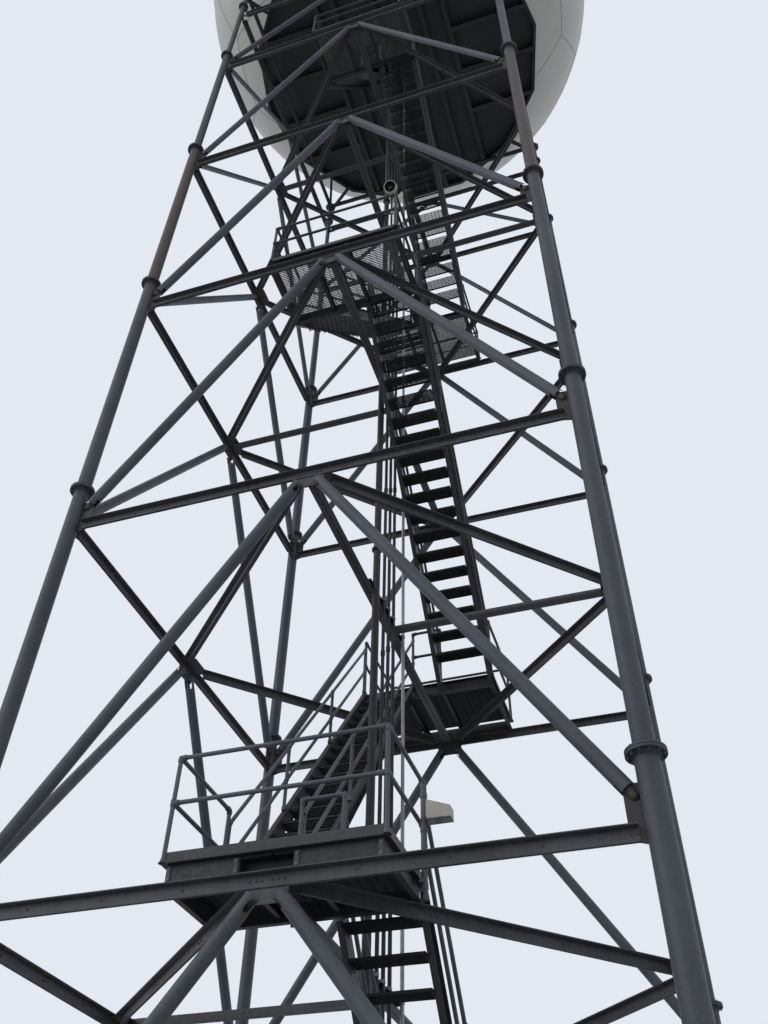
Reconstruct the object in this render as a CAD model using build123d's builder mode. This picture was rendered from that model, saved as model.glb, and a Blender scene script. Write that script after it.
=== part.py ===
"""Radar tower at half size: four tubular legs, tube and angle bracing, stairs and a radome."""

import os
from math import acos, cos, degrees, radians, sin, sqrt, tan

from build123d import *

# All lengths are millimetres of the half-size model. Z = 0 is the underside of the base plates,
# X runs along the near side and Y points to the far side.

# Legs
leg_spacing = 3290.0
storey_rise = 2500.0
storeys = 5
top_storey_rise = 1700.0
leg_stub_rise = 450.0
leg_radii = (54.75, 48.4, 48.4, 48.4, 39.75, 30.25, 30.25)
flange_reach = 33.0
flange_thickness = 26.0
cap_reach = 45.0

# Base plates
base_plate_side = 300.0
base_plate_thickness = 20.0
anchor_spacing = 230.0
anchor_hole_radius = 11.0
rib_height = 110.0
rib_thickness = 10.0
rib_edge_gap = 15.0

# Bracing on the four sides
horizontal_drop = 300.0
horizontal_depth = 56.0
horizontal_width = 56.0
angle_thickness = 6.0
gusset_thickness = 5.0
brace_radii = (35.0, 35.0, 35.0, 35.0, 28.0, 28.0)
brace_sides = 8
brace_tip_offset = 64.0
brace_tip_drop = 65.0
brace_foot_inset = 96.0
brace_foot_rise = 187.0
ground_brace_height = 242.0
brace_plane_inset = 12.0
slot_length = 46.0
apex_gusset_width = 200.0
apex_gusset_depth = 90.0
leg_gusset_reach = 120.0
leg_gusset_rise = 24.0
leg_gusset_drop = 20.0
horizontal_end_gap = 10.0
fit_clearance = 0.3

# Plan bracing
plan_gusset_width = 210.0
plan_gusset_depth = 100.0
plan_gusset_thickness = 5.0
plan_bar_widths = (76.0, 76.0, 60.0, 60.0, 60.0)
plan_bar_end = 100.0
plan_bar_shift = 10.0
cross_beam_x = 4.5
cross_beam_width = 55.0
cross_beam_end = 76.0

# Stairs and platforms
stair_axis_x = 7.5
platform_width = 1075.0
platform_near_depth = 580.0
landing_far_depth = 735.0
platform_overhang = 10.0
channel_depth = 84.0
channel_flange = 32.0
channel_web = 5.0
grating_thickness = 16.0
grating_slot = 50.0
flight_width = 440.0
stringer_height = 140.0
stringer_lift = 25.0
stringer_web = 6.0
stringer_flange = 28.0
stringer_flange_thickness = 7.0
risers = 20
tread_depth = 118.0
tread_thickness = 14.0
ladder_risers = 22
ladder_tread_depth = 70.0
ladder_side_gap = 20.0
ladder_end_gap = 60.0
ladder_stringer_height = 260.0

# Railings
rail_height = 525.0
mid_rail_height = 290.0
rail_size = 22.0
handrail_posts = (0.0, 0.33, 0.66, 1.0)
toe_plate_height = 50.0
toe_plate_thickness = 5.0
handrail_height = 450.0
mid_handrail_height = 225.0

# Deck
deck_lift = 200.0
beam_depth = 50.0
beam_flange = 44.0
beam_web = 8.0
joist_depth = 110.0
joist_width = 60.0
joist_places = (-860.0, -610.0, -90.0, 200.0, 530.0, 860.0)
outrigger_places = (-900.0, -300.0, 300.0, 900.0)
deck_sides = 14
deck_radius = 2040.0
deck_rim_width = 40.0
deck_plate_thickness = 12.0
deck_joint = 0.6
hatch_x = (-575.0, -125.0)
hatch_y = (-425.0, 125.0)
strut_size = 36.0
strut_drop = 160.0
strut_angle = 24.0
strut_seat = 70.0

# Radome
radome_radius = 2970.0
radome_wall = 25.0
radome_base_radius = 1965.0
radome_sides = 32
radome_bands = 16
radome_crown_angle = 3.0
radome_gores = 8
radome_ring_joints = (3.5, 7.5, 11.5)
radome_joint = 0.6

# Pipes up the centre line, as distance along Y and radius
riser_place = -512.0
riser_radius = 25.0
riser_flange_radius = 38.0
riser_flange_thickness = 16.0
conduit_places = ((-306.0, 9.0), (-196.0, 9.0), (-83.0, 9.0), (149.0, 12.0))
pipe_foot = 60.0
bracket_edge = 35.0
bracket_thickness = 12.0
bracket_end = 40.0

# Lamps
lamp_pole_radius = 18.0
lamp_pole_height = 580.0
lamp_pole_inset = 100.0
lamp_height = 365.0
lamp_length = 140.0
lamp_depth = 60.0
lamp_rear_height = 108.0
lamp_front_height = 63.0
round_lamp_offset = 84.0
round_lamp_reach = 78.0
round_lamp_height = 10044.0
round_lamp_tilt = 50.0
round_lamp_radius = 90.0
round_lamp_depth = 70.0
lamp_plate = 8.0
tube_lamp_offset = 122.0
tube_lamp_foot = 9586.0
tube_lamp_radius = 30.0
tube_lamp_length = 402.0
tube_lamp_lean = 9.9
lamp_arm_height = 9680.0
lamp_arm_depth = 30.0

half = leg_spacing / 2
sides = {"near": 0, "right": 90, "far": 180, "left": 270}
flange_levels = [storey_rise * (i + 1) for i in range(storeys)]
flange_levels.append(flange_levels[-1] + top_storey_rise)
leg_top = flange_levels[-1] + leg_stub_rise
joist_foot = leg_top + deck_lift
joist_top = joist_foot + joist_depth
deck_top = joist_top + deck_plate_thickness
platform_height = channel_depth + grating_thickness


def horizontal_top(level):
    """Height of the upper edge of a storey's horizontals."""
    return flange_levels[level] - horizontal_drop


def walk_level(level):
    """Height of the grating at a storey."""
    return horizontal_top(level) + platform_height


def double_angle(height, width):
    """Two angles back to back: a web between two flanges at the foot."""
    Rectangle(width, angle_thickness, align=(Align.CENTER, Align.MIN))
    Rectangle(2 * angle_thickness, height, align=(Align.CENTER, Align.MIN))


def level_bar(start, end, height, width):
    """A level double angle from start to end, which run along the middle of its underside."""
    run = Vector(*end) - Vector(*start)
    with BuildPart() as bar:
        with BuildSketch(Plane(origin=start, x_dir=Vector(0, 0, 1).cross(run), z_dir=run)):
            double_angle(height, width)
        extrude(amount=run.length)
    return bar.part


def finish(piece, name):
    """Labels a finished piece and writes its file."""
    piece.label = name
    export_step(piece, f"parts/{name}.step")


os.makedirs("parts", exist_ok=True)

# Legs: bolted tube sections with ring flanges, made as one turned outline
leg_outline = [(0, base_plate_thickness)]
section_foot = base_plate_thickness
for radius, level in zip(leg_radii, flange_levels):
    lower = level - flange_thickness / 2
    upper = level + flange_thickness / 2
    leg_outline += [(radius, section_foot), (radius, lower)]
    leg_outline += [(radius + flange_reach, lower), (radius + flange_reach, upper)]
    section_foot = upper
cap_radius = leg_radii[-1] + cap_reach
cap_foot = leg_top - flange_thickness / 2
leg_outline += [(leg_radii[-1], section_foot), (leg_radii[-1], cap_foot)]
leg_outline += [(cap_radius, cap_foot), (cap_radius, leg_top), (0, leg_top)]
with BuildPart() as leg:
    with BuildSketch(Plane.XZ):
        with BuildLine():
            Polyline(*leg_outline, close=True)
        make_face()
    revolve(axis=Axis.Z)

# Base plate: anchor holes at the corners and four ribs against the leg
with BuildPart() as base_plate:
    with BuildSketch():
        Rectangle(base_plate_side, base_plate_side)
        with GridLocations(anchor_spacing, anchor_spacing, 2, 2):
            Circle(anchor_hole_radius, mode=Mode.SUBTRACT)
    extrude(amount=base_plate_thickness)
    rib_foot = leg_radii[0] + fit_clearance
    rib_reach = base_plate_side / 2 - rib_edge_gap
    for turn in range(4):
        with BuildSketch(Plane.XZ.rotated((0, 0, 90 * turn))):
            with BuildLine():
                Polyline(
                    (rib_foot, base_plate_thickness),
                    (rib_reach, base_plate_thickness),
                    (rib_foot, base_plate_thickness + rib_height),
                    close=True,
                )
            make_face()
        extrude(amount=rib_thickness / 2, both=True)

corners = {
    "near_left": (-half, -half),
    "near_right": (half, -half),
    "far_right": (half, half),
    "far_left": (-half, half),
}
for corner, (x, y) in corners.items():
    finish(leg.part.moved(Location((x, y, 0))), f"leg_{corner}")
    finish(base_plate.part.moved(Location((x, y, 0))), f"base_plate_{corner}")


def brace(foot, tip, radius):
    """A tube of the inverted V, with a slot at each end for its gusset plate."""
    run = Vector(*tip) - Vector(*foot)
    along = Plane(origin=foot, x_dir=(0, 1, 0), z_dir=run)
    slot_width = gusset_thickness + 2 * fit_clearance
    with BuildPart() as tube:
        with BuildSketch(along):
            RegularPolygon(radius, brace_sides, major_radius=False, rotation=180 / brace_sides)
        extrude(amount=run.length)
        with BuildSketch(along, along.offset(run.length - slot_length)):
            Rectangle(slot_width, 3 * radius)
        extrude(amount=slot_length, mode=Mode.SUBTRACT)
    return tube.part


# Tubes and leg gussets of one side, in a plane just inside the leg axes
brace_y = -half + brace_plane_inset
gusset_plane = Plane.XZ.offset(-brace_y)


def leg_gusset(hand, leg_radius, foot, head):
    """A plate against the leg, in the plane of the side's tubes."""
    nearest = brace_plane_inset - gusset_thickness / 2
    inner = sqrt(leg_radius**2 - nearest**2) + fit_clearance
    with Locations((hand * (half - (inner + leg_gusset_reach) / 2), (foot + head) / 2)):
        Rectangle(leg_gusset_reach - inner, head - foot)


with BuildPart() as face_bracing:
    foot_height = ground_brace_height
    gusset_foot = base_plate_thickness + rib_height + leg_gusset_drop / 2
    gusset_radius = leg_radii[0]
    for level, tube_radius in enumerate(brace_radii):
        horizontal_middle = horizontal_top(level) - horizontal_depth / 2
        for hand in (-1, 1):
            foot = (hand * (half - brace_foot_inset), brace_y, foot_height)
            tip = (hand * brace_tip_offset, brace_y, horizontal_middle - brace_tip_drop)
            add(brace(foot, tip, tube_radius))
            with BuildSketch(gusset_plane):
                leg_gusset(hand, gusset_radius, gusset_foot, foot_height + leg_gusset_rise)
            extrude(amount=gusset_thickness / 2, both=True)
        foot_height = horizontal_middle + brace_foot_rise
        gusset_foot = horizontal_top(level) - horizontal_depth - leg_gusset_drop
        gusset_radius = leg_radii[level]
    for hand in (-1, 1):
        with BuildSketch(gusset_plane):
            leg_gusset(hand, gusset_radius, gusset_foot, horizontal_top(storeys) + leg_gusset_drop)
        extrude(amount=gusset_thickness / 2, both=True)

# Horizontals of one side: two angles that clasp the gusset plates, their flanges at the top,
# a gusset plate at their middle and a flat gusset for the plan bracing
angle_back = brace_y - gusset_thickness / 2
gusset_front = brace_y + gusset_thickness / 2
angle_end = half - leg_radii[0] - horizontal_end_gap
inner_angle_end = -gusset_front - horizontal_width - fit_clearance
with BuildPart() as face_horizontals:
    for level in range(storeys + 1):
        top = horizontal_top(level)
        bottom = top - horizontal_depth
        with BuildSketch(Plane.YZ.offset(-angle_end)):
            with Locations((angle_back, bottom)):
                Rectangle(angle_thickness, horizontal_depth, align=(Align.MAX, Align.MIN))
            with Locations((angle_back, top)):
                Rectangle(horizontal_width, angle_thickness, align=(Align.MAX, Align.MAX))
        extrude(amount=2 * angle_end)
        with BuildSketch(Plane.YZ.offset(-inner_angle_end)):
            with Locations((gusset_front, bottom)):
                Rectangle(angle_thickness, horizontal_depth, align=(Align.MIN, Align.MIN))
            with Locations((gusset_front, top)):
                Rectangle(horizontal_width, angle_thickness, align=(Align.MIN, Align.MAX))
        extrude(amount=2 * inner_angle_end)
        with BuildSketch(gusset_plane):
            with Locations((0, top - horizontal_depth / 2)):
                Rectangle(apex_gusset_width, apex_gusset_depth, align=(Align.CENTER, Align.MAX))
            with Locations((0, top)):
                Rectangle(apex_gusset_width, horizontal_depth, align=(Align.CENTER, Align.MAX))
        extrude(amount=gusset_thickness / 2, both=True)
        if level < storeys:
            with BuildSketch(Plane.XY.offset(bottom + angle_thickness)):
                with Locations((0, gusset_front)):
                    Rectangle(plan_gusset_width, plan_gusset_depth, align=(Align.CENTER, Align.MIN))
            extrude(amount=plan_gusset_thickness)

for side, turn in sides.items():
    finish(face_bracing.part.rotate(Axis.Z, turn), f"{side}_side_braces")
    finish(face_horizontals.part.rotate(Axis.Z, turn), f"{side}_side_horizontals")

# Plan bracing of a storey: a diamond between the four midpoints and a cross of beams
beam_height = horizontal_depth - angle_thickness - plan_gusset_thickness
plan_bar_height = beam_height - angle_thickness - fit_clearance


reach = half - cross_beam_end
outward = plan_bar_shift / sqrt(2)
for level in range(storeys):
    bar_foot = horizontal_top(level) - beam_height
    plan_bar = (plan_bar_height, plan_bar_widths[level])
    cross_beam = (beam_height, cross_beam_width)
    with BuildPart() as plan_bracing:
        for turn in range(4):
            near_end = (plan_bar_end + outward, plan_bar_end - outward - half, bar_foot)
            side_end = (half - plan_bar_end + outward, -plan_bar_end - outward, bar_foot)
            add(level_bar(side_end, near_end, *plan_bar).rotate(Axis.Z, 90 * turn))
        beam_ends = ((cross_beam_x, -reach, bar_foot), (cross_beam_x, reach, bar_foot))
        add(level_bar(*beam_ends, *cross_beam))
        beside = cross_beam_width / 2 + fit_clearance
        arm_ends = (-reach, cross_beam_x - beside) if level % 2 == 0 else (cross_beam_x + beside, reach)
        add(level_bar((arm_ends[0], 0, bar_foot), (arm_ends[1], 0, bar_foot), *cross_beam))
    finish(plan_bracing.part, f"plan_bracing_{level + 1}")

# Platforms: channels with their flanges outwards carry the grating; the far ones keep a slot at the rear
near_edge = -half - platform_overhang
far_edge = half + platform_overhang
platform_rear = near_edge + platform_near_depth
landing_front = far_edge - landing_far_depth
platform_left = stair_axis_x - platform_width / 2
platform_right = stair_axis_x + platform_width / 2


def platform_span(level):
    """Lowest and highest Y of a storey's platform, near and far by turns."""
    return (near_edge, platform_rear) if level % 2 == 0 else (landing_front, far_edge)


for level in range(storeys):
    low_y, high_y = platform_span(level)
    depth_y = high_y - low_y
    middle = (stair_axis_x, (low_y + high_y) / 2)
    foot = horizontal_top(level)
    with BuildPart() as platform:
        with BuildSketch(Plane.XY.offset(foot)):
            with Locations(middle):
                web_inset = channel_flange - channel_web
                Rectangle(platform_width - 2 * web_inset, depth_y - 2 * web_inset)
                Rectangle(
                    platform_width - 2 * channel_flange,
                    depth_y - 2 * channel_flange,
                    mode=Mode.SUBTRACT,
                )
        extrude(amount=channel_depth)
        with BuildSketch(Plane.XY.offset(foot), Plane.XY.offset(foot + channel_depth - channel_web)):
            with Locations(middle):
                Rectangle(platform_width, depth_y)
                Rectangle(
                    platform_width - 2 * channel_flange,
                    depth_y - 2 * channel_flange,
                    mode=Mode.SUBTRACT,
                )
        extrude(amount=channel_web)
        with BuildSketch(Plane.XY.offset(foot + channel_depth)):
            with Locations(middle):
                Rectangle(platform_width, depth_y)
            if level % 2 == 1:
                with Locations((stair_axis_x, far_edge - channel_flange)):
                    Rectangle(
                        platform_width - 2 * channel_flange,
                        grating_slot,
                        align=(Align.CENTER, Align.MAX),
                        mode=Mode.SUBTRACT,
                    )
        extrude(amount=grating_thickness)
    finish(platform.part, f"platform_{level + 1}")

# Stair flights: channel stringers with pipe handrails, and grating treads between them
flight_right = (platform_right - flight_width, platform_right)
flight_left = (platform_left, platform_left + flight_width)
handrail_half = rail_size / 2 * sqrt(1 + (storey_rise / (landing_front - platform_rear)) ** 2)


def flight_ends(level):
    """Where the flight that leaves a storey starts and ends, as (y, z) pairs."""
    foot_y = platform_rear if level % 2 == 0 else landing_front
    head_y = landing_front if level % 2 == 0 else platform_rear
    foot_z = walk_level(0) + storey_rise * level
    return (foot_y, foot_z), (head_y, foot_z + storey_rise)


def slope_strip(foot, head, low, high):
    """A strip along the slope between two heights above the nosings, with upright ends."""
    Polygon(
        (foot[0], foot[1] + low),
        (head[0], head[1] + low),
        (head[0], head[1] + high),
        (foot[0], foot[1] + high),
        align=None,
    )


def handrail_post(foot, head, share):
    """An upright post from the stringer to the top handrail."""
    slope = (head[1] - foot[1]) / (head[0] - foot[0])
    centre = foot[0] + (head[0] - foot[0]) * share
    low = max(centre - rail_size / 2, min(foot[0], head[0]))
    high = min(low + rail_size, max(foot[0], head[0]))
    low_z = foot[1] + slope * (low - foot[0])
    high_z = foot[1] + slope * (high - foot[0])
    Polygon(
        (low, low_z + stringer_lift),
        (high, high_z + stringer_lift),
        (high, high_z + handrail_height),
        (low, low_z + handrail_height),
        align=None,
    )


def add_treads(foot, head, steps, centre_x, length, depth):
    """Level treads between two stringers, each behind its nosing."""
    facing = 1 if head[0] > foot[0] else -1
    for step in range(1, steps):
        nosing = foot[0] + (head[0] - foot[0]) * step / steps
        tread_top = foot[1] + (head[1] - foot[1]) * step / steps
        with Locations((centre_x, nosing + facing * depth / 2, tread_top)):
            Box(length, depth, tread_thickness, align=(Align.CENTER, Align.CENTER, Align.MAX))


for level in range(-1, storeys - 1):
    foot, head = flight_ends(level)
    low_x, high_x = flight_left if level % 2 == 0 else flight_right
    strip_low = stringer_lift - stringer_height
    strip_high = stringer_lift - stringer_flange_thickness
    web_low = low_x + stringer_flange
    web_high = high_x - stringer_flange
    with BuildPart() as flight:
        for web_x, outward in ((web_low, -1), (web_high, 1)):
            with BuildSketch(Plane.YZ.offset(web_x)):
                slope_strip(foot, head, strip_low, stringer_lift)
            extrude(amount=-outward * stringer_web)
            for edge in (strip_low, strip_high):
                with BuildSketch(Plane.YZ.offset(web_x)):
                    slope_strip(foot, head, edge, edge + stringer_flange_thickness)
                extrude(amount=outward * stringer_flange)
            with BuildSketch(Plane.YZ.offset(web_x + outward * (stringer_flange - rail_size) / 2)):
                for height in (mid_handrail_height, handrail_height):
                    slope_strip(foot, head, height - handrail_half, height + handrail_half)
                for share in handrail_posts:
                    handrail_post(foot, head, share)
            extrude(amount=outward * rail_size)
        tread_length = web_high - web_low - 2 * stringer_web - 2 * fit_clearance
        add_treads(foot, head, risers, (web_low + web_high) / 2, tread_length, tread_depth)
        if foot[1] < 0:
            split(bisect_by=Plane.XY, keep=Keep.TOP)
    finish(flight.part, f"flight_{level + 2}")

# Top ladder: a steeper flight from the highest platform to the hatch
ladder_low = platform_left
ladder_high = hatch_x[1] - ladder_side_gap
ladder_foot = (platform_rear, walk_level(storeys - 1))
ladder_head = (hatch_y[1] - ladder_end_gap, deck_top - stringer_lift)
with BuildPart() as ladder:
    for web_x, inward in ((ladder_low, 1), (ladder_high, -1)):
        with BuildSketch(Plane.YZ.offset(web_x)):
            slope_strip(ladder_foot, ladder_head, stringer_lift - ladder_stringer_height, stringer_lift)
        extrude(amount=inward * stringer_web)
    rung_length = ladder_high - ladder_low - 2 * stringer_web - 2 * fit_clearance
    ladder_middle = (ladder_low + ladder_high) / 2
    add_treads(ladder_foot, ladder_head, ladder_risers, ladder_middle, rung_length, ladder_tread_depth)
finish(ladder.part, "top_ladder")


def rail_frame(ends, posts, floor):
    """Level rails between two ends, with posts that stand on the floor."""
    for place in posts:
        with Locations((place, floor)):
            Rectangle(rail_size, rail_height + rail_size / 2, align=(Align.CENTER, Align.MIN))
    for height in (mid_rail_height, rail_height):
        with Locations(((ends[0] + ends[1]) / 2, floor + height)):
            Rectangle(ends[1] - ends[0], rail_size)


def toe_plate(ends, floor):
    """A plate that stands on the floor's edge between two ends."""
    with Locations(((ends[0] + ends[1]) / 2, floor)):
        Rectangle(ends[1] - ends[0], toe_plate_height, align=(Align.CENTER, Align.MIN))


# Railings of each platform: the outer side, the two ends and a short guard between the flights
for level in range(storeys):
    low_y, high_y = platform_span(level)
    inward = 1 if level % 2 == 0 else -1
    outer_y, inner_y = (low_y, high_y) if inward == 1 else (high_y, low_y)
    floor = walk_level(level)
    span_x = (platform_left, platform_right)
    front_y = outer_y + inward * rail_size / 2
    side_y = (outer_y + inward * (rail_size + fit_clearance), inner_y)
    span_y = (min(side_y), max(side_y))
    guard_x = (flight_left[1] - stringer_flange, flight_right[0] + stringer_flange)
    guard_y = inner_y - inward * rail_size / 2
    with BuildPart() as railing:
        with BuildSketch(Plane.XZ.offset(-front_y)):
            corner_posts = (span_x[0] + rail_size / 2, span_x[1] - rail_size / 2)
            rail_frame(span_x, corner_posts, floor)
        extrude(amount=rail_size / 2, both=True)
        with BuildSketch(Plane.XZ.offset(-front_y)):
            toe_plate(span_x, floor)
        extrude(amount=toe_plate_thickness / 2, both=True)
        for end_x, away in ((span_x[0], 1), (span_x[1], -1)):
            with BuildSketch(Plane.YZ.offset(end_x + away * rail_size / 2)):
                end_post = inner_y - inward * rail_size / 2
                rail_frame(span_y, (end_post,), floor)
            extrude(amount=rail_size / 2, both=True)
            with BuildSketch(Plane.YZ.offset(end_x + away * rail_size / 2)):
                toe_plate(span_y, floor)
            extrude(amount=toe_plate_thickness / 2, both=True)
        with BuildSketch(Plane.XZ.offset(-guard_y)):
            guard_posts = (guard_x[0] + rail_size / 2, guard_x[1] - rail_size / 2)
            rail_frame(guard_x, guard_posts, floor)
        extrude(amount=rail_size / 2, both=True)
    finish(railing.part, f"railing_{level + 1}")

# Deck: a frame of beams on the leg caps, and struts that rise from the legs to the rim of the deck,
# which is made of joists, outriggers and plates


def beam_outline(depth, flange, web):
    """An I-section that stands on the sketch's X axis."""
    for foot in (0, depth - web):
        with Locations((0, foot)):
            Rectangle(flange, web, align=(Align.CENTER, Align.MIN))
    Rectangle(web, depth, align=(Align.CENTER, Align.MIN))


long_beam = leg_spacing + 2 * (leg_radii[-1] + cap_reach)
short_beam = leg_spacing - beam_flange - 2 * fit_clearance
with BuildPart() as deck_beams:
    for y in (-half, half):
        with BuildSketch(Plane.YZ.offset(-long_beam / 2)):
            with Locations((y, leg_top)):
                beam_outline(beam_depth, beam_flange, beam_web)
        extrude(amount=long_beam)
    for x in (-half, half):
        with BuildSketch(Plane.XZ.offset(-short_beam / 2)):
            with Locations((x, leg_top)):
                beam_outline(beam_depth, beam_flange, beam_web)
        extrude(amount=short_beam)
finish(deck_beams.part, "deck_beams")

rim_inside = deck_radius - deck_rim_width
with BuildPart() as deck_joists:
    with BuildSketch(Plane.XZ.offset(-deck_radius)):
        for x in joist_places:
            with Locations((x, joist_foot)):
                beam_outline(joist_depth, joist_width, beam_web)
    extrude(amount=2 * deck_radius)
    outrigger_foot = joist_places[-1] + joist_width / 2 + fit_clearance
    for plane in (Plane.YZ.offset(outrigger_foot), Plane.YZ.offset(-deck_radius)):
        with BuildSketch(plane):
            for y in outrigger_places:
                with Locations((y, joist_foot)):
                    beam_outline(joist_depth, joist_width, beam_web)
        extrude(amount=deck_radius - outrigger_foot)
    with BuildSketch(Plane.XY.offset(joist_foot)):
        RegularPolygon(rim_inside - fit_clearance, deck_sides)
    extrude(amount=joist_depth, mode=Mode.INTERSECT)
finish(deck_joists.part, "deck_joists")

with BuildPart() as deck_rim:
    with BuildSketch(Plane.XY.offset(joist_foot)):
        RegularPolygon(deck_radius, deck_sides)
        RegularPolygon(rim_inside, deck_sides, mode=Mode.SUBTRACT)
        with PolarLocations(0, deck_sides // 2, angular_range=180, endpoint=False):
            Rectangle(3 * deck_radius, deck_joint, mode=Mode.SUBTRACT)
    extrude(amount=joist_depth)
finish(deck_rim.part, "deck_rim")

with BuildPart() as deck_plate:
    with BuildSketch(Plane.XY.offset(joist_top)):
        RegularPolygon(deck_radius, deck_sides)
        with Locations(((hatch_x[0] + hatch_x[1]) / 2, (hatch_y[0] + hatch_y[1]) / 2)):
            Rectangle(hatch_x[1] - hatch_x[0], hatch_y[1] - hatch_y[0], mode=Mode.SUBTRACT)
        with Locations((hatch_x[0], 0), (hatch_x[1], 0)):
            Rectangle(deck_joint, 2 * deck_radius, mode=Mode.SUBTRACT)
    extrude(amount=deck_plate_thickness)
finish(deck_plate.part, "deck_plate")

corner_reach = half * sqrt(2)
with BuildPart() as deck_struts:
    for turn in (45, 135, 225, 315):
        for lean in (-strut_angle, strut_angle):
            across = corner_reach * sin(radians(lean))
            seat = corner_reach * cos(radians(lean)) - sqrt(rim_inside**2 - across**2)
            leg_axis = Vector(corner_reach, 0, 0).rotate(Axis.Z, turn)
            inward = Vector(-1, 0, 0).rotate(Axis.Z, turn + lean)
            strut_plane = Plane(origin=leg_axis, x_dir=inward, z_dir=inward.cross(Vector(0, 0, 1)))
            strut_foot = leg_radii[-1] + fit_clearance
            with BuildSketch(strut_plane):
                Polygon(
                    (strut_foot, leg_top - strut_drop),
                    (seat + strut_seat / 2, joist_foot),
                    (seat - strut_seat / 2, joist_foot),
                    (strut_foot, leg_top - strut_drop + strut_seat),
                    align=None,
                )
            extrude(amount=strut_size / 2, both=True)
finish(deck_struts.part, "deck_struts")

# Radome: a truncated ball of flat panels round a thin wall, parted by fine joints into panels
ball_centre = deck_top + sqrt(radome_radius**2 - radome_base_radius**2)
base_angle = degrees(acos((deck_top - ball_centre) / radome_radius))
band_angle = (base_angle - radome_crown_angle) / radome_bands


def ring_height(band, radius=radome_radius):
    """Height of a ring of corners, counted in bands from the crown."""
    if band == radome_bands:
        return deck_top
    return ball_centre + radius * cos(radians(radome_crown_angle + band_angle * band))


with BuildPart() as radome:
    for radius, mode in ((radome_radius, Mode.ADD), (radome_radius - radome_wall, Mode.SUBTRACT)):
        for band in range(radome_bands + 1):
            height = ring_height(band, radius)
            with BuildSketch(Plane.XY.offset(height)):
                RegularPolygon(sqrt(radius**2 - (height - ball_centre) ** 2), radome_sides)
        loft(ruled=True, mode=mode)
    for band in radome_ring_joints:
        with Locations((0, 0, ring_height(band))):
            Box(3 * radome_radius, 3 * radome_radius, radome_joint, mode=Mode.SUBTRACT)
    for gore in range(radome_gores // 2):
        turn = 180 / radome_sides + 360 / radome_gores * gore
        with Locations(Location((0, 0, ring_height(radome_ring_joints[0])), (0, 0, turn))):
            Box(
                3 * radome_radius,
                radome_joint,
                2 * radome_radius,
                align=(Align.CENTER, Align.CENTER, Align.MAX),
                mode=Mode.SUBTRACT,
            )
finish(radome.part, "radome")

# Pipes up the centre line, clamped to a bracket on each storey's cross beam
riser_x = bracket_edge + fit_clearance + riser_radius
with BuildPart() as riser_pipe:
    with Locations((riser_x, riser_place, pipe_foot)):
        Cylinder(riser_radius, joist_top - pipe_foot, align=(Align.CENTER, Align.CENTER, Align.MIN))
    for level in range(storeys):
        joint = flange_levels[level]
        with Locations((riser_x, riser_place, joint)):
            Cylinder(riser_flange_radius, riser_flange_thickness)
finish(riser_pipe.part, "riser_pipe")

with BuildPart() as conduits:
    for place, radius in conduit_places:
        with Locations((bracket_edge + fit_clearance + radius, place, pipe_foot)):
            Cylinder(radius, joist_top - pipe_foot, align=(Align.CENTER, Align.CENTER, Align.MIN))
finish(conduits.part, "conduits")

bracket_low = riser_place - bracket_end
bracket_high = conduit_places[-1][0] + bracket_end
bracket_foot = cross_beam_x - cross_beam_width / 2
with BuildPart() as pipe_brackets:
    for level in range(storeys):
        with BuildSketch(Plane.XY.offset(horizontal_top(level))):
            with Locations((bracket_foot, (bracket_low + bracket_high) / 2)):
                Rectangle(
                    bracket_edge - bracket_foot,
                    bracket_high - bracket_low,
                    align=(Align.MIN, Align.CENTER),
                )
        extrude(amount=bracket_thickness)
finish(pipe_brackets.part, "pipe_brackets")

# Floodlight on a pole at the first platform's inner right corner
pole_x = platform_right + fit_clearance + lamp_pole_radius
pole_y = platform_rear - lamp_pole_inset
pole_foot = horizontal_top(0)
with BuildPart() as floodlight:
    with Locations((pole_x, pole_y, pole_foot)):
        Cylinder(lamp_pole_radius, lamp_pole_height, align=(Align.CENTER, Align.CENTER, Align.MIN))
    with BuildSketch(Plane.XZ.offset(-pole_y)):
        with Locations((pole_x, pole_foot + lamp_height)):
            Polygon(
                (0, 0),
                (lamp_length, 0),
                (lamp_length, lamp_front_height),
                (0, lamp_rear_height),
                align=None,
            )
    extrude(amount=lamp_depth / 2, both=True)
finish(floodlight.part, "floodlight")

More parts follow.
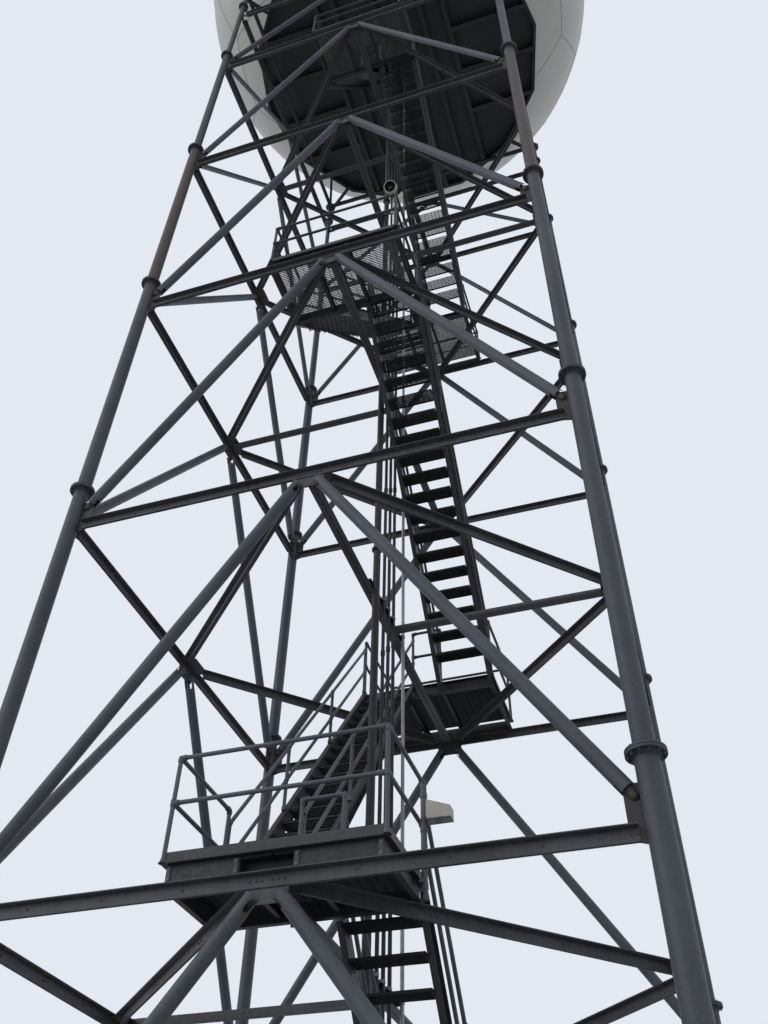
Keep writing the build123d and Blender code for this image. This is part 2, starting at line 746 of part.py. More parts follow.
# Two arms on the riser: the upper one carries a drum lamp that looks down, the lower one a tube lamp
lamp_back = riser_place - riser_radius - fit_clearance
tube_lamp_reach = lamp_plate + tube_lamp_radius
tube_arm_offset = tube_lamp_offset + (lamp_arm_height - tube_lamp_foot) * tan(radians(tube_lamp_lean))
lamp_arms = (
    (round_lamp_height, round_lamp_offset, round_lamp_reach + lamp_plate),
    (lamp_arm_height, tube_arm_offset, tube_lamp_reach),
)
with BuildPart() as riser_lamps:
    for height, offset, reach in lamp_arms:
        with Locations((riser_x - riser_radius, lamp_back, height)):
            Box(riser_radius + offset, lamp_plate, lamp_arm_depth, align=(Align.MIN, Align.MAX, Align.CENTER))
        with Locations((riser_x + offset, lamp_back, height)):
            Box(lamp_arm_depth, reach, lamp_arm_depth, align=(Align.CENTER, Align.MAX, Align.CENTER))
    drum_back = (riser_x + round_lamp_offset, lamp_back - round_lamp_reach, round_lamp_height)
    with Locations(Location(drum_back, (90 + round_lamp_tilt, 0, 0))):
        Cylinder(round_lamp_radius, round_lamp_depth, align=(Align.CENTER, Align.CENTER, Align.MIN))
        with Locations((0, 0, lamp_plate)):
            Cylinder(
                round_lamp_radius - lamp_plate,
                round_lamp_depth,
                align=(Align.CENTER, Align.CENTER, Align.MIN),
                mode=Mode.SUBTRACT,
            )
    tube_foot = (riser_x + tube_lamp_offset, lamp_back - tube_lamp_reach, tube_lamp_foot)
    with Locations(Location(tube_foot, (0, tube_lamp_lean, 0))):
        Cylinder(tube_lamp_radius, tube_lamp_length, align=(Align.CENTER, Align.CENTER, Align.MIN))
finish(riser_lamps.part, "riser_lamps")
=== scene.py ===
"""Looks of the radar tower: round tubes, open gratings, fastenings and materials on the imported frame."""

from math import acos, cos, pi, radians, sin, sqrt, tan

import bpy
from mathutils import Matrix, Vector


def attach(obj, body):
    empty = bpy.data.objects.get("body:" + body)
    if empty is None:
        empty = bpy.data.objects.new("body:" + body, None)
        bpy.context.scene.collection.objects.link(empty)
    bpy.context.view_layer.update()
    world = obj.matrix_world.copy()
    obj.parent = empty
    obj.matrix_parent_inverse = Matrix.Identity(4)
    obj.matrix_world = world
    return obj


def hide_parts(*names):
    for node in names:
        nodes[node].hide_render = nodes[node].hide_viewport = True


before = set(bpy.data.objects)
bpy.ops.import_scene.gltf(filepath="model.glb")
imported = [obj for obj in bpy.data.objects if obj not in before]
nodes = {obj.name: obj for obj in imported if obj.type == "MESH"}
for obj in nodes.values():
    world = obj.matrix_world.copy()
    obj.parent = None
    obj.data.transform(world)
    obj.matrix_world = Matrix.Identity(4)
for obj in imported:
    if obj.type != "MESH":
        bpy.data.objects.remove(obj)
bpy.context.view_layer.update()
scene = bpy.context.scene

# ---- sizes, in metres; some differ from the part
half = 1.645
storey = 2.5
storeys = 5
flange_levels = (2.5, 5.0, 7.5, 10.0, 12.5, 14.2)
horizontal_drop = 0.3
horizontal_tops = [z - horizontal_drop for z in flange_levels]
leg_radii = (0.05475, 0.0484, 0.0484, 0.0484, 0.03975, 0.03025, 0.03025)
leg_top = 14.65
base_thickness = 0.02
base_rib_height = 0.11
flange_reach = 0.033
flange_thickness = 0.026
flange_bolts = 12
flange_bolt_size = 0.0085
flange_chamfer = 0.002
weld = 0.006
seam_gap = 0.0015
seam_recess = 0.004
cap_reach = 0.045
horizontal_depth = 0.056
angle_thickness = 0.006
angle_depths = (0.064, *(0.056,) * 4, 0.05)
angle_width = 0.038
outer_widths = (0.038,) * 5 + (0.026,)
outer_angle_end = 1.566
inner_angle_end = 1.5742
packing_places = (0.4, 0.8, 1.18)
horizontal_bolts = (0.024, 0.052, 0.08, half - 0.118, half - 0.09, *packing_places)
brace_radii = (0.035,) * 4 + (0.028,) * 2
brace_tip_offset = 0.064
brace_tip_drop = 0.065
brace_foot_inset = 0.096
brace_foot_rise = 0.187
brace_inset = 0.012
brace_y = -half + brace_inset
ground_brace_height = 0.242
tube_wall = 0.004
slot_length = 0.046
slot_half_width = 0.0135
foot_plug, tip_plug = 0.075, 0.095
lug_inside, lug_outside, lug_share = 0.03, 0.038, 0.62
gusset_thickness = 0.005
leg_gusset_reach = 0.12
leg_gusset_corner = 0.104
leg_gusset_rise = 0.024
leg_gusset_drop = 0.02
apex_gusset_half = 0.1
apex_gusset_depth = 0.132
plan_gusset = [(-0.125, 0), (0.125, 0), (0.125, 0.045), (0.07, 0.105), (-0.07, 0.105), (-0.125, 0.045)]
plan_bar_width = 0.076
plan_bar_end = 0.075
plan_bar_shift = 0.01
plan_bar_height = 0.06
plan_bar_drop = 0.0063
plan_bar_cope = 0.045
pair_gap = 0.004
angle_leg = 0.005
cross_beam_x = -0.001
cross_beam_width = 0.07
cross_beam_reach = half - 0.076
cross_beam_height = 0.045
fit = 0.0003
stair_axis_x = 0.0075
platform_width = 1.075
platform_left = stair_axis_x - platform_width / 2
platform_right = stair_axis_x + platform_width / 2
near_edge = -half - 0.01
far_edge = half + 0.01
platform_rear = near_edge + 0.58
landing_front = far_edge - 0.735
opening_x = (-0.15, 0.112)
opening_depth = 0.06
channel_depth = 0.084
channel_flange = 0.032
channel_web = 0.005
joist_flange = 0.026
clip_half_width = 0.011
grating_depth = 0.016
grating_bar = 0.0022
grating_pitch = 0.015
grating_cross_pitch = 0.05
grating_slot = 0.05
walk_rise = channel_depth + grating_depth
flight_width = 0.44
flight_left = (platform_left, platform_left + flight_width)
flight_right = (platform_right - flight_width, platform_right)
flight_clearance = 0.02
stringer_height = 0.14
stringer_lift = 0.025
stringer_web = 0.006
stringer_flange = 0.028
stringer_flange_thickness = 0.007
risers = 20
tread_depth = 0.118
tread_thickness = 0.014
tread_bar = 0.0015
tread_pitch = 0.013
tread_cross_pitch = 0.042
rail_radius = 0.011
rail_height = 0.525
mid_rail_height = 0.29
handrail_height = 0.45
mid_handrail_height = 0.225
joint_offset = 0.02
toe_height = 0.05
toe_thickness = 0.005
deck_top = 14.972
joist_top = 14.96
radome_radius = 2.97
radome_base_radius = 1.965
skin_thickness = 0.022
seam_width = 0.01
seam_rise = 0.003
ladder_low = platform_left
ladder_high = -0.145
ladder_risers = 22
ladder_tread_depth = 0.07
ladder_tread_pitch = 0.012
ladder_height = 0.26
ladder_head = (0.065, deck_top - 0.025)
riser_x = 0.0603
riser_place = -0.512
riser_radius = 0.025
riser_flange = 0.038
pipe_foot = 0.06
conduit_radius = 0.012
conduit_places = (-0.306, -0.196, -0.083, 0.149)
bracket_edge = 0.035

# ---- meshes
x_way, y_way, z_way = (1, 0, 0), (0, 1, 0), (0, 0, 1)
square = (x_way, y_way, z_way)
box_faces = [(0, 2, 3, 1), (4, 5, 7, 6), (0, 1, 5, 4), (2, 6, 7, 3), (0, 4, 6, 2), (1, 3, 7, 5)]
# The hand hole at a tube's tip, in spans: where each starts, in slot lengths from the tip, and the
# degrees from the tube's inner side between which it is open
hand_hole = ((1.55, 27, 48), (1.35, 17, 62), (0.45, 17, 52), (0.2, 17, 43))


def up_by(z):
    return Vector((0, 0, z))


def across(w):
    """Two unit vectors square to w and to each other."""
    guide = Vector(z_way) if abs(w.z) < 0.95 else Vector(x_way)
    u = guide.cross(w).normalized()
    return u, w.cross(u)


def neighbours(count):
    """The pairs of neighbours in a closed ring."""
    return [(i, (i + 1) % count) for i in range(count)]


class Piece:
    """Gathers the vertices and faces of one joined mesh."""

    def __init__(self, name):
        self.name = name
        self.verts, self.faces, self.smooth, self.slots = [], [], [], []

    def add(self, verts, faces, smooth=False, slot=0):
        base = len(self.verts)
        self.verts += [tuple(v) for v in verts]
        self.faces += [tuple(base + i for i in face) for face in faces]
        self.smooth += [smooth] * len(faces)
        self.slots += [slot] * len(faces)

    def box(self, low, high, slot=0):
        (x0, y0, z0), (x1, y1, z1) = low, high
        self.add([(x, y, z) for z in (z0, z1) for y in (y0, y1) for x in (x0, x1)], box_faces, slot=slot)

    def turned_box(self, centre, size, axes=square, slot=0):
        """A box with its own axes, three unit vectors."""
        c = Vector(centre)
        u, v, w = (Vector(a) * s / 2 for a, s in zip(axes, size))
        verts = [c + u * i + v * j + w * k for k in (-1, 1) for j in (-1, 1) for i in (-1, 1)]
        self.add(verts, box_faces, slot=slot)

    def lathe(self, origin, axis, profile, sides=24, slot=0, smooth=True):
        """Turns (radius, height) pairs round an axis; each band has its own corners."""
        o, w = Vector(origin), Vector(axis).normalized()
        u, v = across(w)
        ring = [(cos(2 * pi * i / sides), sin(2 * pi * i / sides)) for i in range(sides)]
        for (r0, h0), (r1, h1) in zip(profile, profile[1:]):
            if r0 < 1e-6 and r1 < 1e-6:
                continue
            low = [o + w * h0 + (u * c + v * s) * r0 for c, s in ring]
            high = [o + w * h1 + (u * c + v * s) * r1 for c, s in ring]
            if r1 < 1e-6:
                verts, faces = low + [o + w * h1], [(i, j, sides) for i, j in neighbours(sides)]
            elif r0 < 1e-6:
                verts, faces = [o + w * h0] + high, [(0, 1 + j, 1 + i) for i, j in neighbours(sides)]
            else:
                verts = low + high
                faces = [(i, j, sides + j, sides + i) for i, j in neighbours(sides)]
            self.add(verts, faces, smooth and abs(h1 - h0) >= 1e-7, slot)

    def tube(self, start, end, radius, sides=24, slot=0):
        """A round bar."""
        a, b = Vector(start), Vector(end)
        length = (b - a).length
        self.lathe(a, b - a, [(0, 0), (radius, 0), (radius, length), (0, length)], sides, slot)

    def band(self, place, axis, inner, outer, length, slant=0.0, sides=24, slot=0):
        """A sleeve round a pipe, its ends square or slanted."""
        h = length / 2
        profile = [(inner, -h), (outer, slant - h), (outer, h - slant), (inner, h)]
        self.lathe(place, axis, profile, sides, slot)

    def ball(self, place, radius, slot=0, sides=14, rings=7):
        turns = [pi * i / rings for i in range(rings + 1)]
        self.lathe(place, z_way, [(radius * sin(t), -radius * cos(t)) for t in turns], sides, slot)

    def slotted_tube(self, start, end, radius, inner_turn, sides=40):
        """A pipe in the plane of a side, slotted at both ends, with hand holes at its tip."""
        a, b = Vector(start), Vector(end)
        w, n = (b - a).normalized(), Vector(y_way)
        u = n.cross(w).normalized()
        stations = [a, a + w * slot_length] + [b - w * slot_length * share for share, _, _ in hand_hole] + [b]
        ring = [2 * pi * (i + 0.5) / sides for i in range(sides)]

        def cut_away(low, high):
            gone = set()
            for i in range(sides):
                turn = 2 * pi * (i + 1) / sides
                from_inner = abs((turn - inner_turn + pi) % (2 * pi) - pi)
                in_slot = abs(sin(turn)) * radius < slot_half_width and (low == high or from_inner > pi / 2)
                if in_slot or radians(low) < from_inner < radians(high):
                    gone.add(i)
            return gone

        cuts = [cut_away(0, 0), set()] + [cut_away(low, high) for _, low, high in hand_hole]
        # The inner wall takes slot 1, which the braces fill with near-black painted shade
        for r, slot, turned_in in ((radius, 0, False), (radius - tube_wall, 1, True)):
            verts = [p + (u * cos(t) + n * sin(t)) * r for p in stations for t in ring]
            faces = []
            for span, gone in enumerate(cuts):
                low, high = span * sides, (span + 1) * sides
                kept = [(i, j) for i, j in neighbours(sides) if i not in gone]
                quads = [(low + i, low + j, high + j, high + i) for i, j in kept]
                faces += [quad[::-1] if turned_in else quad for quad in quads]
            self.add(verts, faces, True, slot)
        for p, gone in ((a, cuts[0]), (b, cuts[-1])):
            verts = [p + (u * cos(t) + n * sin(t)) * r for r in (radius, radius - tube_wall) for t in ring]
            self.add(verts, [(i, j, sides + j, sides + i) for i, j in neighbours(sides) if i not in gone])

    def prism(self, outline, origin, x_axis, y_axis, depth, slot=0):
        """A flat outline pushed out by depth along x_axis cross y_axis, half each way."""
        o, x, y = Vector(origin), Vector(x_axis), Vector(y_axis)
        n = x.cross(y) * depth / 2
        count = len(outline)
        verts = [o + x * p + y * q + n * hand for hand in (-1, 1) for p, q in outline]
        faces = [tuple(reversed(range(count))), tuple(range(count, 2 * count))]
        self.add(verts, faces + [(i, j, count + j, count + i) for i, j in neighbours(count)], slot=slot)

    def bolt(self, place, axis, size, slot=0):
        """A hexagon head on a washer, standing on a surface and pointing along axis."""
        washer, edge, head = size * 0.18, size * 0.8, size * 0.65
        self.lathe(place, axis, [(size, 0), (size, washer), (0, washer)], 10, slot)
        foot = Vector(place) + Vector(axis).normalized() * washer
        profile = [(edge, 0), (edge, size * 0.55), (size * 0.62, head), (0, head)]
        self.lathe(foot, axis, profile, 6, slot, smooth=False)

    def turn(self, quarter, first=0):
        """Carries the vertices added since first from the near side to another, by quarter turns."""
        for _ in range(quarter):
            self.verts[first:] = [(-y, x, z) for x, y, z in self.verts[first:]]

    def build(self, materials, replaces, bevel=None):
        mesh = bpy.data.meshes.new(self.name)
        mesh.from_pydata(self.verts, [], self.faces)
        for material in materials:
            mesh.materials.append(material)
        mesh.polygons.foreach_set("use_smooth", self.smooth)
        mesh.polygons.foreach_set("material_index", self.slots)
        mesh.update()
        obj = bpy.data.objects.new(self.name, mesh)
        scene.collection.objects.link(obj)
        if bevel:
            modifier = obj.modifiers.new("edges", "BEVEL")
            modifier.width = bevel
            modifier.segments = 1
            modifier.limit_method = "ANGLE"
            modifier.angle_limit = radians(50)
        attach(obj, "root")
        if replaces:
            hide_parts(*replaces)


# ---- materials
def add_node(tree, kind, inputs, **settings):
    """A new node, with its settings and with each input linked or set."""
    node = tree.nodes.new("ShaderNode" + kind)
    for name, value in settings.items():
        setattr(node, name, value)
    for key, value in inputs.items():
        if isinstance(value, bpy.types.NodeSocket):
            tree.links.new(value, node.inputs[key])
        else:
            node.inputs[key].default_value = value
    return node


def material_base(name):
    """A material, its shader and the object coordinates."""
    material = bpy.data.materials.new(name)
    material.use_nodes = True
    tree = material.node_tree
    tree.nodes.clear()
    shader = add_node(tree, "BsdfPrincipled", {})
    add_node(tree, "OutputMaterial", {"Surface": shader.outputs[0]})
    return material, shader, add_node(tree, "TexCoord", {}).outputs["Object"]


def noise(coord, scale, detail=4.0, rough=0.6, stretch=None):
    if stretch:
        coord = add_node(coord.id_data, "Mapping", {"Vector": coord, "Scale": stretch}).outputs[0]
    inputs = {"Vector": coord, "Scale": scale, "Detail": detail, "Roughness": rough}
    return add_node(coord.id_data, "TexNoise", inputs).outputs["Fac"]


def ramp(fac, low, high, start=0.0, stop=1.0):
    """Maps fac from low..high to start..stop, held at the ends."""
    inputs = {"Value": fac, "From Min": low, "From Max": high, "To Min": start, "To Max": stop}
    return add_node(fac.id_data, "MapRange", inputs, clamp=True).outputs[0]


def mix(fac, a, b):
    """Mixes two colours, each a link or a value."""
    a, b = (value if isinstance(value, bpy.types.NodeSocket) else (*value, 1.0) for value in (a, b))
    return add_node(fac.id_data, "Mix", {0: fac, 6: a, 7: b}, data_type="RGBA").outputs[2]


def times(a, b, operation="MULTIPLY"):
    return add_node(a.id_data, "Math", {0: a, 1: b}, operation=operation).outputs[0]


def finish_shader(shader, colour, roughness, height, bump, distance):
    """Links the colour, the roughness and the fine bumps of a shader."""
    tree = shader.id_data
    bumps = add_node(tree, "Bump", {"Height": height, "Strength": bump, "Distance": distance})
    for socket, link in (("Base Color", colour), ("Roughness", roughness), ("Normal", bumps.outputs[0])):
        tree.links.new(link, shader.inputs[socket])


def steel(
    name, base, light, dark, stain=(0.12, 0.08, 0.05), stain_share=0.25, roughness=(0.45, 0.7), metallic=0.0,
    bump=0.15, spangle=0.35, stain_band=None,
):
    """Weathered steel: blotches, fine mottling, streaks down the height and stains."""
    material, shader, coord = material_base(name)
    blotch = noise(coord, 2.2, 5.0, 0.62)
    mottle = noise(coord, 55.0, 3.0, 0.55)
    streak = noise(coord, 1.0, 4.0, 0.6, (26.0, 26.0, 1.4))
    rust = noise(coord, 7.0, 6.0, 0.7)
    fine = noise(coord, 140.0, 3.0, 0.6)
    colour = mix(ramp(blotch, 0.35, 0.68), dark, base)
    colour = mix(times(ramp(mottle, 0.42, 0.68), spangle), colour, light)
    colour = mix(times(ramp(streak, 0.5, 0.72), 0.45), colour, dark)
    share = times(ramp(rust, 0.56, 0.74), stain_share)
    if stain_band:
        low, high, strength = stain_band
        height = add_node(coord.id_data, "SeparateXYZ", {0: coord}).outputs["Z"]
        wave = times(ramp(blotch, 0.3, 0.7, -0.25, 0.25), height, "ADD")
        rise = ramp(wave, low - 0.12, low + 0.12)
        fall = ramp(wave, high - 0.12, high + 0.12, 1.0, 0.0)
        share = times(share, times(times(rise, fall), strength), "MAXIMUM")
    colour = mix(share, colour, stain)
    shader.inputs["Metallic"].default_value = metallic
    height = times(fine, mottle, "ADD")
    finish_shader(shader, colour, ramp(mottle, 0.3, 0.7, *roughness), height, bump, 0.002)
    return material


def radome_skin():
    """Pale panels with soft dust streaks and specks."""
    material, shader, coord = material_base("radome_panel")
    broad = noise(coord, 0.6, 4.0, 0.5)
    streak = noise(coord, 1.0, 5.0, 0.6, (3.2, 3.2, 0.45))
    speck = noise(coord, 30.0, 3.0, 0.6)
    colour = mix(ramp(broad, 0.3, 0.7), (0.5, 0.485, 0.455), (0.57, 0.55, 0.52))
    colour = mix(times(ramp(streak, 0.5, 0.75), 0.35), colour, (0.41, 0.395, 0.36))
    colour = mix(times(ramp(speck, 0.6, 0.8), 0.2), colour, (0.38, 0.36, 0.33))
    finish_shader(shader, colour, ramp(speck, 0.3, 0.7, 0.42, 0.58), speck, 0.06, 0.004)
    return material


tube_tones = ((0.066, 0.074, 0.089), (0.108, 0.119, 0.14), (0.04, 0.045, 0.055))
galvanised = steel("galvanised_tube", *tube_tones, metallic=0.2)
galvanised_brown = steel(
    "galvanised_brown", *tube_tones, stain=(0.078, 0.058, 0.05), metallic=0.2, stain_band=(7.55, 9.95, 0.8),
)
brace_steel = steel(
    "brace_tube", (0.084, 0.092, 0.11), (0.138, 0.15, 0.176), (0.051, 0.056, 0.068), metallic=0.2,
)
angle_steel = steel(
    "weathered_angle", (0.078, 0.077, 0.087), (0.13, 0.13, 0.142), (0.036, 0.035, 0.039),
    stain=(0.088, 0.07, 0.06), metallic=0.1, spangle=0.3,
)
gusset_steel = steel(
    "gusset_plate", (0.07, 0.074, 0.08), (0.112, 0.118, 0.126), (0.04, 0.042, 0.045),
    stain=(0.08, 0.06, 0.045), metallic=0.1,
)
channel = steel(
    "channel_steel", (0.028, 0.028, 0.031), (0.053, 0.054, 0.06), (0.013, 0.013, 0.014),
    stain=(0.055, 0.044, 0.036), metallic=0.1,
)
toe_steel = steel(
    "toe_plate", (0.048, 0.048, 0.052), (0.078, 0.078, 0.084), (0.025, 0.024, 0.025),
    stain=(0.062, 0.049, 0.04), stain_share=0.4, metallic=0.1,
)
stair = steel(
    "stair_steel", (0.034, 0.036, 0.041), (0.064, 0.068, 0.075), (0.015, 0.015, 0.017),
    stain=(0.045, 0.037, 0.03), metallic=0.1,
)
rail = steel(
    "rail_pipe", (0.105, 0.115, 0.13), (0.175, 0.188, 0.205), (0.058, 0.064, 0.074), stain_share=0.12,
    metallic=0.2,
)
# A darker copy of rail_pipe for the rails above the first storey: painted shade, for the shade under the deck
rail_painted_shade = steel(
    "upper_rail_pipe", (0.044, 0.048, 0.056), (0.08, 0.086, 0.098), (0.024, 0.026, 0.03), stain_share=0.12,
    metallic=0.2,
)
# Near-black gratings and treads: partly their own dark tone, partly painted shade for the dark undersides of
# the platforms
grating = steel(
    "grating_steel_and_painted_shade", (0.014, 0.015, 0.017), (0.028, 0.03, 0.034), (0.007, 0.007, 0.008), stain_share=0.15,
    metallic=0.1,
)
# Near-black deck steel: partly its own dark tone, partly painted shade for the deck's underside in the
# radome's shadow
deck = steel(
    "deck_steel", (0.008, 0.008, 0.009), (0.016, 0.016, 0.018), (0.004, 0.004, 0.004),
    stain=(0.013, 0.009, 0.007), stain_share=0.5, spangle=0.25,
)
# Riser and dark conduits are darkened to near-black: painted shade for the shade under the deck, also where
# the sun reaches them
riser_steel = steel(
    "riser_steel", (0.013, 0.014, 0.017), (0.026, 0.028, 0.033), (0.007, 0.007, 0.008), metallic=0.15,
)
conduit_steel = steel(
    "conduit_steel", (0.015, 0.016, 0.019), (0.03, 0.032, 0.037), (0.008, 0.009, 0.01), metallic=0.2,
    stain_share=0.1,
)
bright_conduit = steel(
    "bright_conduit", (0.3, 0.31, 0.33), (0.42, 0.44, 0.46), (0.18, 0.19, 0.21), metallic=0.4,
    roughness=(0.3, 0.5), stain_share=0.1,
)
bolt_steel = steel(
    "bolt_steel", (0.2, 0.21, 0.225), (0.32, 0.335, 0.355), (0.1, 0.105, 0.115), metallic=0.4,
    roughness=(0.35, 0.55), stain_share=0.2,
)
dark_bolt = steel(
    "dark_bolt", (0.07, 0.072, 0.078), (0.13, 0.134, 0.142), (0.035, 0.036, 0.04), metallic=0.3,
    roughness=(0.4, 0.6), stain_share=0.3,
)
# Near-black inside of the brace tubes and of the plugs in them: painted shade for the dark hollow of each
# tube
hollow_painted_shade = steel(
    "tube_inside_painted_shade", (0.01, 0.01, 0.011), (0.02, 0.02, 0.021), (0.005, 0.005, 0.005),
    stain=(0.02, 0.012, 0.008), roughness=(0.7, 0.9), bump=0.05,
)
lug_steel = steel(
    "rusty_lug", (0.046, 0.041, 0.038), (0.08, 0.072, 0.064), (0.02, 0.017, 0.015),
    stain=(0.09, 0.05, 0.028), stain_share=0.75, metallic=0.05,
)
base_steel = steel(
    "base_steel", (0.1, 0.103, 0.108), (0.16, 0.165, 0.17), (0.05, 0.05, 0.05), stain_share=0.5,
    metallic=0.2,
)
lamp_cream = steel(
    "lamp_cream", (0.6, 0.57, 0.48), (0.68, 0.65, 0.56), (0.48, 0.45, 0.38), stain=(0.24, 0.2, 0.14),
    stain_share=0.12, bump=0.04, spangle=0.2,
)
lamp_box = steel(
    "lamp_housing", (0.5, 0.47, 0.42), (0.57, 0.54, 0.485), (0.39, 0.365, 0.325), stain=(0.16, 0.13, 0.1),
    stain_share=0.15, bump=0.04, spangle=0.2,
)
lens = steel(
    "lamp_lens", (0.1, 0.095, 0.09), (0.16, 0.155, 0.145), (0.06, 0.055, 0.05), roughness=(0.12, 0.25),
    bump=0.03,
)
radome_panel = radome_skin()
seam = steel(
    "radome_seam", (0.35, 0.34, 0.32), (0.41, 0.4, 0.38), (0.27, 0.26, 0.25), stain_share=0.3, bump=0.03,
)


# The nodes that keep their solids
kept = {"base_plate": base_steel, "deck_": deck, "riser_pipe": riser_steel, "pipe_brackets": riser_steel}
for name, node in nodes.items():
    for start, material in kept.items():
        if name.startswith(start):
            for entry in node.material_slots:
                entry.material = material
            if not node.material_slots:
                node.data.materials.append(material)

# ---- legs: flanged tube sections, bolted in pairs
corners = (("near_left", -1, -1), ("near_right", 1, -1), ("far_right", 1, 1), ("far_left", -1, 1))
for corner, x_hand, y_hand in corners:
    x, y = x_hand * half, y_hand * half
    leg = Piece(f"leg_tubes_{corner}")
    foot = base_thickness
    for level, radius, above in zip(flange_levels, leg_radii, leg_radii[1:]):
        low, high = level - flange_thickness / 2, level + flange_thickness / 2
        disc = radius + flange_reach
        halves = []
        for pipe, face, hand in ((radius, low, -1), (above, high, 1)):
            rim = [(pipe, face + hand * weld), (pipe + weld * 0.7, face + hand * weld * 0.35)]
            rim += [(pipe + weld, face), (disc - flange_chamfer, face), (disc, face - hand * flange_chamfer)]
            rim += [(disc, level + hand * seam_gap), (disc - seam_recess, level + hand * seam_gap / 2)]
            halves.append(rim)
        leg.lathe((x, y, 0), z_way, [(radius, foot)] + halves[0] + halves[1][::-1], 40)
        reach = (max(radius, above) + disc) / 2 + 0.003
        for i in range(flange_bolts):
            turn = 2 * pi * (i + 0.5) / flange_bolts
            spot = (x + reach * cos(turn), y + reach * sin(turn))
            leg.bolt((*spot, high), z_way, flange_bolt_size, 1)
            leg.bolt((*spot, low), (0, 0, -1), flange_bolt_size, 1)
            leg.tube((*spot, low - 0.012), (*spot, low), 0.0042, 8, 1)
        foot = high + weld
    top_radius, cap_foot = leg_radii[-1], leg_top - flange_thickness / 2
    cap = top_radius + cap_reach
    profile = [(top_radius, foot), (top_radius, cap_foot - weld), (top_radius + weld, cap_foot)]
    leg.lathe((x, y, 0), z_way, profile + [(cap, cap_foot), (cap, leg_top), (0, leg_top)], 40)
    leg.lathe((x, y, 0), z_way, [(0, base_thickness), (leg_radii[0], base_thickness)], 40)
    skin = galvanised_brown if corner.startswith("near") else galvanised
    leg.build([skin, dark_bolt], (f"leg_{corner}",))


# ---- tubes of the sides: pipes slotted over gusset plates
def side_plate(piece, outline, slot=0):
    """A gusset plate in the plane of the tubes."""
    piece.prism(outline, (0, brace_y, 0), x_way, z_way, gusset_thickness, slot)


def leg_face(radius):
    """Distance of a leg's skin from its axis, in the plane of the gusset plates."""
    return sqrt(radius**2 - (brace_inset - gusset_thickness / 2) ** 2)


side_names = ("near", "right", "far", "left")
for quarter, side in enumerate(side_names):
    tubes = Piece(f"{side}_tubes")
    foot_z = ground_brace_height
    low = base_thickness + base_rib_height + 0.01
    for level, radius in enumerate(brace_radii):
        middle_z = horizontal_tops[level] - horizontal_depth / 2
        inner, head = leg_face(leg_radii[max(level - 1, 0)]), foot_z + leg_gusset_rise
        plate = [(inner, low), (leg_gusset_reach, low + leg_gusset_drop)]
        plate += [(leg_gusset_reach, head - leg_gusset_drop), (leg_gusset_corner, head), (inner, head)]
        for hand in (-1, 1):
            foot = Vector((hand * (half - brace_foot_inset), brace_y, foot_z))
            tip = Vector((hand * brace_tip_offset, brace_y, middle_z - brace_tip_drop))
            run = (tip - foot).normalized()
            tubes.slotted_tube(foot, tip, radius, pi if hand > 0 else 0)
            # A near-black disc inside each tube end: painted shade that closes the view down the hollow
            for plug in (foot + run * foot_plug, tip - run * tip_plug):
                tubes.lathe(plug, run, [(0, 0), (radius - tube_wall, 0)], 28, 1)
            lug_end = foot - run * lug_outside
            tubes.tube(foot + run * lug_inside, lug_end, radius * lug_share, 20, 2)
            tubes.ball(lug_end, radius * lug_share, 2, 20, 10)
            side_plate(tubes, [(hand * (half - p), q) for p, q in plate], 2)
        foot_z = middle_z + brace_foot_rise
        low = horizontal_tops[level] - horizontal_depth - leg_gusset_drop
    inner, head = leg_face(leg_radii[storeys]), horizontal_tops[-1] + leg_gusset_drop
    plate = [(inner, low), (leg_gusset_reach, low), (leg_gusset_reach, low + 0.07), (inner, head)]
    for hand in (-1, 1):
        side_plate(tubes, [(hand * (half - p), q) for p, q in plate], 2)
    tubes.turn(quarter)
    tubes.build([brace_steel, hollow_painted_shade, lug_steel], (f"{side}_side_braces",))

# ---- horizontals: two angles that clasp the gusset plates, with packing plates and bolts
outer_back = brace_y - gusset_thickness / 2
inner_front = brace_y + gusset_thickness / 2
outer_face, inner_face = outer_back - angle_thickness, inner_front + angle_thickness
for quarter, side in enumerate(side_names):
    angles = Piece(f"{side}_angles")
    plates = Piece(f"{side}_gussets")
    for level, top in enumerate(horizontal_tops):
        low, fold = top - angle_depths[level], top - angle_thickness
        a, b = outer_angle_end, inner_angle_end
        angles.box((-a, outer_face, low), (a, outer_back, fold))
        angles.box((-a, outer_back - outer_widths[level], fold), (a, outer_back, top))
        angles.box((-b, inner_front, low), (b, inner_face, fold))
        angles.box((-b, inner_front, fold), (b, inner_front + angle_width, top))
        foot = top - apex_gusset_depth
        edge = [(apex_gusset_half, top - 0.002), (apex_gusset_half, foot + 0.03)]
        edge += [(0.078, foot), (0.034, foot)]
        side_plate(plates, [(-p, q) for p, q in edge] + edge[::-1])
        if level < storeys:
            shelf = top - plan_bar_drop - angle_leg - gusset_thickness / 2
            plates.prism(plan_gusset, (0, inner_face, shelf), x_way, y_way, gusset_thickness, 1)
        row = top - 0.033
        for hand in (-1, 1):
            for x in packing_places:
                plates.turned_box((hand * x, brace_y, row), (0.045, gusset_thickness, 0.044), slot=1)
            for x in horizontal_bolts:
                plates.bolt((hand * x, outer_face, row), (0, -1, 0), 0.007, 1)
                plates.bolt((hand * x, inner_face, row), y_way, 0.007, 1)
    angles.turn(quarter)
    plates.turn(quarter)
    angles.build([angle_steel], (f"{side}_side_horizontals",), bevel=0.0012)
    plates.build([gusset_steel, angle_steel], ())


